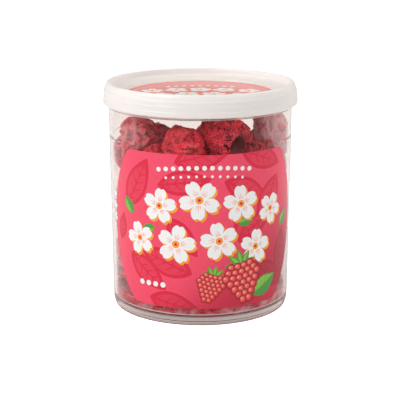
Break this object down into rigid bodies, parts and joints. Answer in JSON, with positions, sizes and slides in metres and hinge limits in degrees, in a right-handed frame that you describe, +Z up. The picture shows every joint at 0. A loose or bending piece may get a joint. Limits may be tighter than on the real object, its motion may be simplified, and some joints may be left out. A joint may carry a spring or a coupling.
{
  "type": "clear plastic tub of freeze-dried raspberries with a press-on lid",
  "caption": "Clear round plastic tub filled with whole freeze-dried raspberries, with a coral front label and a translucent press-on lid.",
  "frame": {"origin": "centre of the tub's foot, on the surface that it stands on", "axes": "+Z up along the tub's axis; -Y is the front, where the label faces a little to the right (+X)"},
  "size_m": [0.081, 0.081, 0.0944],
  "materials": {
    "clear_pp": "clear injection-moulded polypropylene, glossy",
    "milky_pp": "translucent milky-white moulded polypropylene, satin",
    "label_film": "printed in-mould film, coral to crimson, glossy",
    "lid_label_film": "printed film disc, coral pink, glossy",
    "raspberry": "freeze-dried raspberry, dry and matt, with a dusty bloom"
  },
  "bodies": {
    "root": {"tub": "clear_pp", "lid": "milky_pp", "front_label": "label_film", "lid_label": "lid_label_film", "raspberries": "raspberry"}
  },
  "joints": []
}
